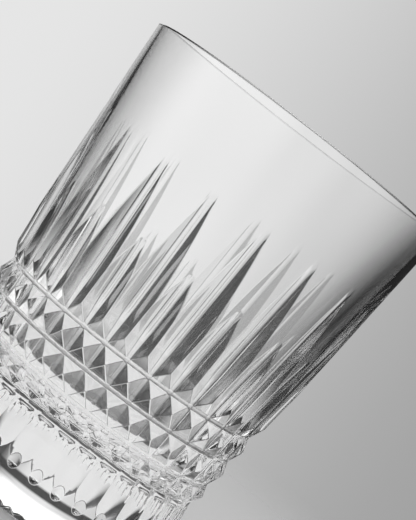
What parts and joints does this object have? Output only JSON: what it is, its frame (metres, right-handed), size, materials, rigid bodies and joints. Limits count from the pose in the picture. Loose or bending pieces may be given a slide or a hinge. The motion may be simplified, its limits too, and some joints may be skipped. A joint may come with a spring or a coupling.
{
  "type": "tumbler",
  "caption": "Heavy cut-crystal whiskey tumbler with upright lance cuts above a band of cut pyramids and a thick solid base, for holding a drink.",
  "frame": {"origin": "centre of the foot, on the surface the tumbler stands on", "axes": "+Z along the glass's axis, from the foot to the rim; +X passes through the middle of a short lance cut"},
  "size_m": [0.088, 0.0878, 0.114],
  "materials": {
    "crystal": "clear colourless lead crystal, fire-polished blank with polished cuts"
  },
  "bodies": {
    "root": {"tumbler_body": "crystal"}
  },
  "joints": []
}
